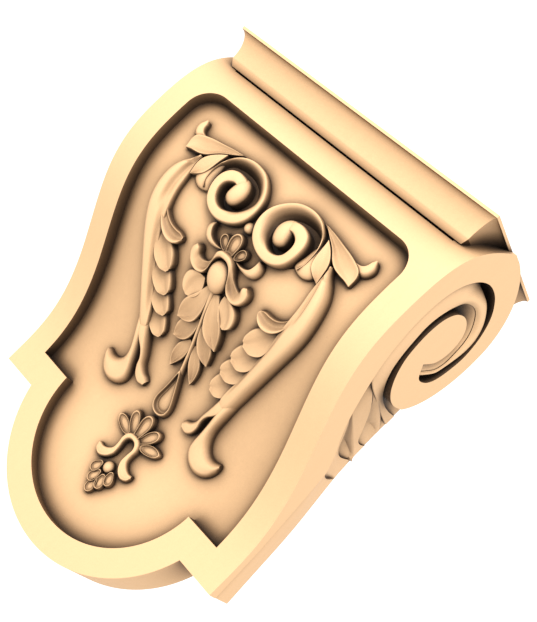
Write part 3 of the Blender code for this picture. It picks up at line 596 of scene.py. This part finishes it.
def centre_top(made):
    """The ball, the three petals and the side curls above the cabochon."""
    made.add(dish(oval((0.0, 0.395), (0.017, 0.0175)), domed(0.015), 48))
    petal = [(0.0, 0.420), (0.011, 0.424), (0.0185, 0.436), (0.02, 0.452), (0.0165, 0.471), (0.011, 0.488)]
    made.add(dish(mirrored(petal), rimmed(0.013, 0.017, 0.012, 0.0125), 72))
    side = [(0.017, 0.478), (0.021, 0.461), (0.029, 0.449), (0.04, 0.445), (0.049, 0.451), (0.051, 0.464),
            (0.043, 0.476), (0.031, 0.485), (0.02, 0.488)]
    made.both(dish(side, rimmed(0.011, 0.0145, 0.01, 0.0105), 64))
    outer = [(0.022, 0.488), (0.048, 0.499), (0.076, 0.503), (0.099, 0.495), (0.1105, 0.477), (0.1115, 0.458),
             (0.105, 0.445), (0.094, 0.440)]
    inner = [(0.026, 0.484), (0.048, 0.4865), (0.067, 0.483), (0.079, 0.475), (0.0855, 0.464),
             (0.0885, 0.454), (0.089, 0.447), (0.0885, 0.4415)]
    table = [(0.011, 0.012, 0.012), (0.013, 0.0145, 0.015), (0.0135, 0.0155, 0.0165),
             (0.0135, 0.015, 0.016), (0.011, 0.0125, 0.013)]
    made.both(blade(outer, inner, table, 60, 14, (0.014, 0.003), 0.12))


def centre_drop(made):
    """The hood and cabochon, the curled arms, round petals, leaf pairs, stem and pendant."""
    made.add(dish(oval((0.0, 0.5551), (0.0375, 0.0495)), domed(0.0265), 96))
    hole = [(0.0, 0.4804), (0.018, 0.483), (0.0325, 0.4943), (0.041, 0.5128), (0.049, 0.5314),
            (0.061, 0.5448), (0.076, 0.5479), (0.085, 0.5406), (0.088, 0.5303), (0.092, 0.5221),
            (0.101, 0.5185)]
    low = [(0.0, 0.5046), (0.014, 0.5077), (0.0265, 0.519), (0.034, 0.5376), (0.0395, 0.5603), (0.053, 0.58),
           (0.078, 0.5873), (0.103, 0.5769), (0.118, 0.554), (0.1185, 0.5345), (0.109, 0.5221)]
    table = [(0.0215, 0.0245, 0.025, 0.0235, 0.02), (0.02, 0.0225, 0.023, 0.0215, 0.0185),
             (0.013, 0.0135, 0.015, 0.019, 0.019), (0.008, 0.007, 0.009, 0.0175, 0.0185),
             (0.011, 0.014, 0.0165, 0.0195, 0.019), (0.018, 0.0205, 0.0205, 0.019, 0.017),
             (0.016, 0.017, 0.017, 0.0165, 0.015)]
    made.both(blade(hole, low, table, 110, 20, (0.005, 0.007), 0.20))
    above = [(0.046, 0.5842), (0.066, 0.5811), (0.088, 0.5873), (0.104, 0.604), (0.1095, 0.6268),
             (0.104, 0.6487), (0.088, 0.6622)]
    below = [(0.04, 0.5894), (0.036, 0.604), (0.035, 0.6206), (0.038, 0.6372), (0.047, 0.6518),
             (0.06, 0.6617), (0.076, 0.6653)]
    table = [(0.012, 0.011, 0.01, 0.01, 0.0105), (0.0155, 0.013, 0.0095, 0.0095, 0.011),
             (0.0165, 0.0145, 0.009, 0.009, 0.0115), (0.0165, 0.0155, 0.0095, 0.0095, 0.013),
             (0.0165, 0.016, 0.012, 0.012, 0.015), (0.0155, 0.0155, 0.015, 0.015, 0.015)]
    made.both(blade(above, below, table, 60, 22, (0.006, 0.004), 0.30))
    stem_left = [(-0.01, 0.5946), (-0.009, 0.6674), (-0.008, 0.7494), (-0.0075, 0.8197), (-0.008, 0.868)]
    stem_right = [(-x, s) for x, s in stem_left]
    made.add(blade(stem_left, stem_right, [(0.01, 0.0135, 0.01)] * 3, 60, 9, 0.005))
    right = ([(0.026, 0.5967), (0.05, 0.6341), (0.069, 0.658), (0.081, 0.6788), (0.0855, 0.7038),
              (0.0845, 0.7327)],
             [(0.026, 0.6965), (0.052, 0.7151), (0.068, 0.7312), (0.0755, 0.7494), (0.077, 0.7666),
              (0.0755, 0.7878)],
             [(0.02, 0.7656), (0.038, 0.7817), (0.051, 0.8009), (0.0565, 0.8245), (0.0545, 0.8467),
              (0.047, 0.8685)])
    left = ([(0.004, 0.6071), (0.004, 0.6487), (0.0085, 0.684), (0.022, 0.713), (0.047, 0.7292),
             (0.079, 0.7348)],
            [(0.003, 0.6986), (0.0045, 0.7272), (0.0125, 0.7544), (0.028, 0.7757), (0.048, 0.7868),
             (0.071, 0.7903)],
            [(0.003, 0.7736), (0.0045, 0.7999), (0.0115, 0.8235), (0.0225, 0.8419), (0.034, 0.8564),
             (0.0435, 0.869)])
    for k, (a, b) in enumerate(zip(right, left)):
        high = 0.0175 - 0.0018 * k
        shape = np.array([(0.52, 0.54, 0.52, 0.62), (0.80, 0.54, 0.48, 0.88), (1.02, 0.52, 0.44, 1.06),
                          (1.12, 0.62, 0.52, 1.12), (1.06, 0.94, 0.90, 1.04)])
        made.both(blade(a, b, shape * high, 54, 18, (0.005, 0.004), 0.30))
    drop = [(0.0, 0.8467), (0.0065, 0.8632), (0.013, 0.8876), (0.022, 0.9188), (0.0305, 0.9462),
            (0.0335, 0.966), (0.029, 0.984), (0.0165, 0.9955), (0.0, 0.999)]
    rings = ((1.0, 0.0075), (0.93, 0.014), (0.84, 0.015), (0.72, 0.007), (0.50, 0.008), (0.02, 0.0095))
    made.add(dish(mirrored(drop), rings, 96, (0.0, 0.9511)))


def bottom_flower(made):
    """Five petals over an arched band with curled feet, a ball and five buds."""
    side = petal_edge((0.012, 1.085), (0.0565, 1.0255), 0.0165, 0.66)
    low = [(0.026, 1.084), (0.04, 1.07), (0.06, 1.06), (0.08, 1.058), (0.096, 1.0645), (0.088, 1.08),
           (0.068, 1.09), (0.046, 1.095), (0.029, 1.093)]
    made.both(dish(np.array(low), rimmed(0.009, 0.0125, 0.0085, 0.009), 72))
    made.both(dish(side, rimmed(0.011, 0.0145, 0.01, 0.0105), 72))
    crown = [(0.0, 1.0065), (0.01, 1.01), (0.018, 1.022), (0.0195, 1.039), (0.015, 1.061), (0.009, 1.083)]
    made.add(dish(mirrored(crown), rimmed(0.013, 0.017, 0.012, 0.0125), 72))
    outer = [(0.0, 1.0715), (0.017, 1.074), (0.03, 1.084), (0.036, 1.101), (0.034, 1.121), (0.0355, 1.138),
             (0.047, 1.15), (0.061, 1.156), (0.07, 1.155), (0.0755, 1.1535)]
    inner = [(0.0, 1.0925), (0.009, 1.0945), (0.0155, 1.101), (0.0175, 1.112), (0.015, 1.131),
             (0.0165, 1.155), (0.031, 1.176), (0.053, 1.186), (0.073, 1.179), (0.08, 1.164)]
    table = [(0.018, 0.019, 0.018), (0.0175, 0.0185, 0.0175), (0.0155, 0.0165, 0.0155),
             (0.014, 0.0145, 0.0165), (0.013, 0.012, 0.017), (0.013, 0.013, 0.014)]
    made.both(blade(outer, inner, table, 84, 14, (0.007, 0.007), 0.15))
    made.add(dish(oval((0.0, 1.187), (0.018, 0.0185)), domed(0.0165), 48))
    for root, tip, wide, high in (((0.023, 1.188), (0.0385, 1.228), 0.015, 0.0125),
                                  ((0.009, 1.208), (0.0205, 1.253), 0.015, 0.012)):
        made.both(dish(petal_edge(root, tip, wide), rimmed(high * 0.7, high, high * 0.7, high * 0.74), 56))
    made.add(dish(petal_edge((0.0, 1.231), (0.0, 1.278), 0.015), rimmed(0.0075, 0.011, 0.0075, 0.008), 56))


def side_points(rows, side):
    """Rows of (out, down, depth) as points on the side face, closed below inside the core."""
    rows = np.asarray(rows, float)
    top = np.stack([side * (HALF - rows[..., 2]), -rows[..., 0], -rows[..., 1]], -1)
    foot = top[:, ::-1].copy()
    foot[..., 0] = side * (CORE_HALF - CORE_OVERLAP)
    return np.concatenate([top, foot], 1) * BODY_WIDTH


def side_curl(made, side, table, under):
    """A band that turns in the channel: outer to inner point, depth by a curve through three depths.

    The inner edge is carried on by under; the outer one is rounded over.
    """
    outer = smooth([c[0] for c in table], 220)
    inner = smooth([c[1] for c in table], 220)
    depth = smooth([c[2:] for c in table], 220)
    way = (inner - outer) / np.linalg.norm(outer - inner, axis=1)[:, None] * under
    outer, inner = outer - 0.15 * way, inner + way
    v = np.concatenate([[0.0, 0.02, 0.06], np.linspace(0.12, 1.0, 14)])
    depth = through(depth.T, 2 * v).T + 0.0018 * np.clip(1 - v / 0.12, 0, 1)[None] ** 2
    line = outer[:, None] + v[None, :, None] * (inner - outer)[:, None]
    made.add(side_points(np.concatenate([line, depth[..., None]], -1), side))


def fan_line(points, band, wall, hollow=0.0):
    """One line of the fan: a valley along the band, then deeper towards the wall, hollowed on the way.

    Depth runs from 0.7 of band to wall with the share of the way, to a power, plus the valley and the hollow.
    """
    line = smooth(points, FAN_POINTS)
    u = np.linspace(0, 1, FAN_POINTS)
    on = np.clip(1 - line[:, 0] / line[0, 0], 0, 1.1)
    dip = np.clip((u - 0.16) / 0.55, 0, 1) ** 1.4 * (1 - 1.15 * np.clip((u - 0.80) / 0.17, 0, 1) ** 1.6)
    valley = 0.6 * band * np.clip(1 - on / 0.35, 0, 1) ** 1.5
    return np.column_stack([line, 0.7 * band + valley + (wall - 0.7 * band) * on ** 1.15 + hollow * dip])


def side_fan(made, side):
    """The fan under the volute: three leaflets, each hollowed from a soft line down to a sharp one."""
    rows = [fan_line(*FAN_HOLLOWS[0]) + (0, -0.010, 0.006), fan_line(*FAN_HOLLOWS[0]) + (0, -0.005, 0.001)]
    for soft, sharp in zip(FAN_HOLLOWS[::2], FAN_HOLLOWS[1::2]):
        above, below = fan_line(*soft), fan_line(*sharp[:3])
        rows += [above + (0, -0.002, 0), above]
        for v, share in LEAFLET_ROWS:
            deep = fan_line(sharp[0], sharp[1], sharp[2], sharp[3] * share)
            mixed = above + (below - above) * v
            mixed[:, 2] += deep[:, 2] - below[:, 2]
            rows.append(mixed)
        rows += [below + (0, 0.0004, -0.0004), below + (0, 0.003, 0)]
    low = [fan_line(*FAN_HOLLOWS[-1][:3]) + (0, 0.004, 0)]
    for root, down, lip in SHANK:
        low.append(fan_line((root, (root[0] / 2, (root[1] + down) / 2), (BEHIND_WALL, down)), 0.004, lip))
    low[-1][:, 1] = BODY_FOOT
    rows += list(smooth(np.array(low).reshape(len(low), -1), 40).reshape(40, -1, 3))
    made.add(side_points(np.array(rows), side))


def slab(outline, x0, x1):
    """A flat outline of (out, down) points carried from x0 to x1."""
    outline = np.asarray(outline, float)
    rings = [np.stack([np.full(len(outline), x), -outline[:, 0], -outline[:, 1]], -1) for x in (x0, x1)]
    return np.array(rings) * BODY_WIDTH


def core():
    """The plain middle from the quirk under the cap to the foot, back to the wall."""
    curve = front_curve(50)
    start = CAP_FOOT_DOWN + QUIRK
    curve = curve[curve[:, 1] > start + 0.003]
    first = [np.interp(start, DOWN, OUT), start]
    outline = [[-OVER, start / 2], [QUIRK_FLOOR, start / 2], [QUIRK_FLOOR, start], first]
    outline += curve.tolist() + [[FRONT_FLAT, BODY_FOOT], [-OVER, BODY_FOOT]]
    return slab(outline, -CORE_HALF, CORE_HALF)


def lobe():
    """The round drop below the body."""
    turn = np.linspace(0, 2 * math.pi, 160, endpoint=False)
    ring = np.stack([LOBE_RADIUS * np.cos(turn), np.zeros(160), LOBE_RADIUS * np.sin(turn)], -1)
    ring[:, 2] = np.minimum(ring[:, 2], LOBE_TOP) - LOBE_CENTRE
    return np.array([ring + (0, -out, 0) for out in (-OVER, FRONT_FLAT)]) * BODY_WIDTH


def cap():
    """The mitred cap on front and sides: a fascia, a quarter-ellipse cove and a splayed band."""
    turn = np.linspace(math.pi / 2, 0, 25)[1:]
    share = (1 - np.cos(turn))[:, None]
    plan = np.array(CAP_CORNER) + (np.array(CAP_TOP) - CAP_CORNER) * share
    down = CAP_CORNER_DOWN - (CAP_CORNER_DOWN - FASCIA) * np.sin(turn)
    plan = np.vstack([CAP_TOP, CAP_TOP, plan, CAP_FOOT])
    down = np.concatenate([[0.0, FASCIA], down, [CAP_FOOT_DOWN]])
    x, out = plan[:, 0], plan[:, 1]
    back = np.full(len(x), OVER)
    corners = [np.stack([sx * x, y, -down], -1) for sx, y in ((-1, back), (1, back), (1, -out), (-1, -out))]
    return np.stack(corners, 1) * BODY_WIDTH


def side_plate(side):
    """The flat band that rises up the front edge, rolls over and curls in to the eye."""
    outline = np.vstack([
        [[FRONT_FLAT, BODY_FOOT]], front_curve(50)[::-1],
        bezier(VOLUTE_TOP, 40)[1:], bezier(VOLUTE_BACK, 30)[1:],
        smooth(EYE_EDGE, 110)[1:], smooth(BAND_EDGE, 130)[1:], np.array(SHANK_EDGE)[1:],
    ])
    return slab(outline, side * PLATE_BACK, side * HALF)


def panel():
    """The cutter of the sunk panel: rows of width along the surface, from the floor to above the front."""
    turn = np.linspace(0, math.pi / 2, 16)
    rows = np.column_stack([PANEL_TOP + PANEL_CORNER * (1 - np.cos(turn)),
                            PANEL_HALF - PANEL_CORNER * (1 - np.sin(turn))])
    along = np.linspace(PANEL_TOP + PANEL_CORNER, PANEL_STEP - 0.001, 140)[1:]
    straight = np.column_stack([along, np.full(len(along), PANEL_HALF)])
    rows = np.vstack([rows, straight, [PANEL_STEP, PANEL_NECK]])
    angle = math.pi / 2 * np.linspace(0.04, 1, 44)
    half = np.maximum(PANEL_RADIUS * np.cos(angle), 0.004)
    rows = np.vstack([rows, np.column_stack([PANEL_LOBE + PANEL_RADIUS * np.sin(angle), half])])
    xs = rows[:, 1:] * np.array((-1.0, 1.0, 1.0, -1.0))
    ss = np.repeat(rows[:, :1], 4, 1)
    return place(xs, ss, np.broadcast_to(np.array((0.0, 0.0, 2 * DEEP, 2 * DEEP)), ss.shape))


def body_piece():
    """The mass of the corbel: joined solids, less the sunk panel and what passes the wall and the top."""
    first = Shells()
    first.add(core())
    body = new_piece("corbel_body", first.mesh("corbel_body"))
    wall = [(-FAR, 0.0), (FAR, 0.0), (FAR, 0.3), (-FAR, 0.3)]
    over = [(-FAR, -0.7), (FAR, -0.7), (FAR, 0.2), (-FAR, 0.2)]
    wall_block = np.array([[(x, y, z) for x, y in wall] for z in (-1.7, 0.4)]) * BODY_WIDTH
    over_block = np.array([[(x, y, z) for x, y in over] for z in (0.0, 0.3)]) * BODY_WIDTH
    steps = [("lobe", lobe(), "UNION"), ("cap", cap(), "UNION"), ("left_plate", side_plate(-1), "UNION"),
             ("right_plate", side_plate(1), "UNION"), ("panel", panel(), "DIFFERENCE"),
             ("right_well", scroll_well(), "DIFFERENCE"),
             ("left_well", scroll_well() * MIRROR, "DIFFERENCE"),
             ("wall_face", wall_block, "DIFFERENCE"), ("top_face", over_block, "DIFFERENCE")]
    for side, name in ((-1, "left_carving"), (1, "right_carving")):
        shells = Shells()
        side_curl(shells, side, CURL, 0.0)
        steps.insert(4, (name + "_curl", shells.mesh(name), "UNION"))
        shells = Shells()
        side_curl(shells, side, HOLLOW, 0.012)
        steps.insert(4, (name + "_hollow", shells.mesh(name), "UNION"))
        shells = Shells()
        side_fan(shells, side)
        steps.insert(4, (name + "_fan", shells.mesh(name), "UNION"))
    for name, form, how in steps:
        if not isinstance(form, bpy.types.Mesh):
            shells = Shells()
            shells.add(form)
            form = shells.mesh(name)
        tool = new_piece(name, form)
        join = body.modifiers.new(name, "BOOLEAN")
        join.operation = how
        join.solver = "MANIFOLD"
        join.object = tool
    graph = bpy.context.evaluated_depsgraph_get()
    mesh = bpy.data.meshes.new_from_object(body.evaluated_get(graph))
    body.modifiers.clear()
    body.data = mesh
    for name, _, _ in steps:
        bpy.data.objects.remove(bpy.data.objects[name], do_unlink=True)
    return body


def carving_piece(name, parts):
    """Relief of the front, every form a closed body standing in the panel's floor."""
    made = Shells()
    for part in parts:
        part(made)
    return new_piece(name, made.mesh(name))


def soften(piece, angle):
    """Smooth shading, except over edges sharper than the angle in degrees."""
    piece.data.polygons.foreach_set("use_smooth", np.ones(len(piece.data.polygons), bool))
    piece.data.set_sharp_from_angle(angle=math.radians(angle))


def group_socket(group, name, way, kind, value=None):
    """A new input or output of a node group."""
    made = group.interface.new_socket(name=name, in_out=way, socket_type=kind)
    if value is not None:
        made.default_value = value
    return made


def math_node(nodes, how, kind="ShaderNodeMath"):
    """A new node that works out one sum."""
    made = nodes.new(kind)
    made.operation = how
    return made


def grain_group():
    """Tone and bump of fine pale wood: long faint streaks down the block and a fine speckle."""
    group = bpy.data.node_groups.new("fine_pale_grain", "ShaderNodeTree")
    group_socket(group, "Streak", "INPUT", "NodeSocketFloat", 0.05)
    group_socket(group, "Speckle", "INPUT", "NodeSocketFloat", 0.05)
    group_socket(group, "Tone", "OUTPUT", "NodeSocketFloat")
    group_socket(group, "Height", "OUTPUT", "NodeSocketFloat")
    nodes, links = group.nodes, group.links
    into = nodes.new("NodeGroupInput")
    result = nodes.new("NodeGroupOutput")
    place_at = nodes.new("ShaderNodeTexCoord")
    stretch = nodes.new("ShaderNodeMapping")
    stretch.inputs["Scale"].default_value = STREAK_STRETCH
    streaks = nodes.new("ShaderNodeTexNoise")
    streaks.inputs["Scale"].default_value = STREAK_SCALE
    streaks.inputs["Detail"].default_value = 3.0
    specks = nodes.new("ShaderNodeTexNoise")
    specks.inputs["Scale"].default_value = SPECKLE_SCALE
    specks.inputs["Detail"].default_value = 2.0
    links.new(place_at.outputs["Object"], stretch.inputs["Vector"])
    links.new(stretch.outputs["Vector"], streaks.inputs["Vector"])
    links.new(place_at.outputs["Object"], specks.inputs["Vector"])

    def centred(noise, amount):
        """The noise about zero, times the named amount."""
        low = math_node(nodes, "SUBTRACT")
        low.inputs[1].default_value = 0.5
        links.new(noise.outputs["Fac"], low.inputs[0])
        by = math_node(nodes, "MULTIPLY")
        links.new(low.outputs[0], by.inputs[0])
        links.new(into.outputs[amount], by.inputs[1])
        return by

    both = math_node(nodes, "ADD")
    links.new(centred(streaks, "Streak").outputs[0], both.inputs[0])
    links.new(centred(specks, "Speckle").outputs[0], both.inputs[1])
    tone = math_node(nodes, "ADD")
    tone.inputs[1].default_value = 1.0
    links.new(both.outputs[0], tone.inputs[0])
    links.new(tone.outputs[0], result.inputs["Tone"])
    links.new(both.outputs[0], result.inputs["Height"])
    return group


def painted_hollow_shade(material, reach, shades):
    """Painted shade in hollows: the open part of the sky within reach, read through a ramp of levels."""
    nodes, links = material.node_tree.nodes, material.node_tree.links
    # Painted shade: the occlusion seen at each point darkens its colour
    hollow = nodes.new("ShaderNodeAmbientOcclusion")
    hollow.samples = PAINTED_SHADE_SAMPLES
    hollow.inputs["Distance"].default_value = reach
    shade = nodes.new("ShaderNodeValToRGB")
    stops = shade.color_ramp.elements
    stops[0].position, stops[1].position = shades[0][0], shades[-1][0]
    for open_part, _ in shades[1:-1]:
        stops.new(open_part)
    for stop, (_, level) in zip(stops, shades):
        stop.color = (level ** PAINTED_SHADE_TINT[0], level, level ** PAINTED_SHADE_TINT[1], 1.0)
    links.new(hollow.outputs["AO"], shade.inputs["Fac"])
    return shade.outputs["Color"]


def pale_wood(name, grain):
    """Pale sanded wood with painted shade: hollows and creases darken its colour to brown."""
    made = bpy.data.materials.new(name)
    made.use_nodes = True
    nodes, links = made.node_tree.nodes, made.node_tree.links
    shader = nodes["Principled BSDF"]
    shader.inputs["Roughness"].default_value = ROUGHNESS
    shader.inputs["Specular IOR Level"].default_value = SHEEN
    tone = nodes.new("ShaderNodeGroup")
    tone.node_tree = grain
    tone.inputs["Streak"].default_value = STREAK
    tone.inputs["Speckle"].default_value = SPECKLE
    # Painted shade: the colour darkens where hollows and creases see less of the sky
    wide = painted_hollow_shade(made, PAINTED_HOLLOW_REACH, PAINTED_HOLLOW_SHADES)
    close = painted_hollow_shade(made, PAINTED_CREASE_REACH, PAINTED_CREASE_SHADES)
    both = math_node(nodes, "MULTIPLY", "ShaderNodeVectorMath")
    links.new(wide, both.inputs[0])
    links.new(close, both.inputs[1])
    wood_colour_with_painted_shade = math_node(nodes, "MULTIPLY", "ShaderNodeVectorMath")
    wood_colour_with_painted_shade.inputs[1].default_value = WOOD_COLOUR
    links.new(both.outputs[0], wood_colour_with_painted_shade.inputs[0])
    vary = math_node(nodes, "SCALE", "ShaderNodeVectorMath")
    links.new(wood_colour_with_painted_shade.outputs[0], vary.inputs[0])
    links.new(tone.outputs["Tone"], vary.inputs["Scale"])
    links.new(vary.outputs[0], shader.inputs["Base Color"])
    relief = nodes.new("ShaderNodeBump")
    relief.inputs["Strength"].default_value = BUMP
    relief.inputs["Distance"].default_value = BUMP_HEIGHT
    links.new(tone.outputs["Height"], relief.inputs["Height"])
    links.new(relief.outputs["Normal"], shader.inputs["Normal"])
    return made


def camera():
    """The photograph's view: level, close to the left front, rolled so that the top points up right."""
    wide, high = PHOTO_SIZE
    data = bpy.data.cameras.new("camera")
    data.sensor_width = CAMERA_SENSOR
    data.sensor_fit = "AUTO"
    data.lens = CAMERA_FOCAL / high * CAMERA_SENSOR
    data.shift_x = (wide / 2 - CAMERA_CENTRE[0]) / high
    data.shift_y = (CAMERA_CENTRE[1] - high / 2) / high
    data.clip_start = 0.01
    made = bpy.data.objects.new("camera", data)
    axes = (Vector(CAMERA_RIGHT), -Vector(CAMERA_DOWN), -Vector(CAMERA_AHEAD))
    made.matrix_world = Matrix.Translation(CAMERA_PLACE) @ Matrix(axes).transposed().to_4x4()
    bpy.context.scene.collection.objects.link(made)
    bpy.context.scene.camera = made


def light(name, at, towards, size, power):
    """A square area lamp that faces the point towards."""
    data = bpy.data.lights.new(name, "AREA")
    data.energy = power
    data.size = size
    made = bpy.data.objects.new(name, data)
    made.location = at
    made.rotation_euler = (Vector(towards) - Vector(at)).to_track_quat("-Z", "Y").to_euler()
    bpy.context.scene.collection.objects.link(made)


def studio():
    """A pale floor well below the part, a white room and a soft lamp."""
    scene = bpy.context.scene
    world = bpy.data.worlds.new("white_room")
    world.use_nodes = True
    world.node_tree.nodes["Background"].inputs["Color"].default_value = (1, 1, 1, 1)
    world.node_tree.nodes["Background"].inputs["Strength"].default_value = WORLD_LIGHT
    scene.world = world
    scene.view_settings.view_transform = "Standard"
    scene.view_settings.look = "None"
    mesh = bpy.data.meshes.new("floor")
    turn = np.linspace(0, 2 * math.pi, FLOOR_SIDES, endpoint=False)
    level = np.full(FLOOR_SIDES, cad_low.z - FLOOR_DROP)
    ring = np.stack([FLOOR_RADIUS * np.cos(turn), FLOOR_RADIUS * np.sin(turn), level], -1)
    mesh.from_pydata(ring.tolist(), [], [tuple(range(FLOOR_SIDES))])
    floor = new_piece("floor", mesh)
    paint = bpy.data.materials.new("pale_floor")
    paint.use_nodes = True
    shader = paint.node_tree.nodes["Principled BSDF"]
    shader.inputs["Base Color"].default_value = (FLOOR_GREY, FLOOR_GREY, FLOOR_GREY, 1)
    shader.inputs["Roughness"].default_value = FLOOR_ROUGHNESS
    mesh.materials.append(paint)
    light("key", *KEY_LAMP)


camera()
studio()
grain = grain_group()
body = body_piece()
carving = carving_piece("front_carving", (scrolls, scroll_leaves, stalks, sprays))
centre = carving_piece("centre_carving", (centre_top, centre_drop, bottom_flower))
# The wood material carries painted shade in its hollows and creases
wood_with_painted_shade = pale_wood("pale_lime_wood", grain)
for piece, angle in ((body, BODY_ANGLE), (carving, RELIEF_ANGLE), (centre, RELIEF_ANGLE)):
    soften(piece, angle)
    piece.data.materials.clear()
    piece.data.materials.append(wood_with_painted_shade)
    piece.data.polygons.foreach_set("material_index", np.zeros(len(piece.data.polygons), np.int32))
    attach(piece, "root")
    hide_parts("corbel")
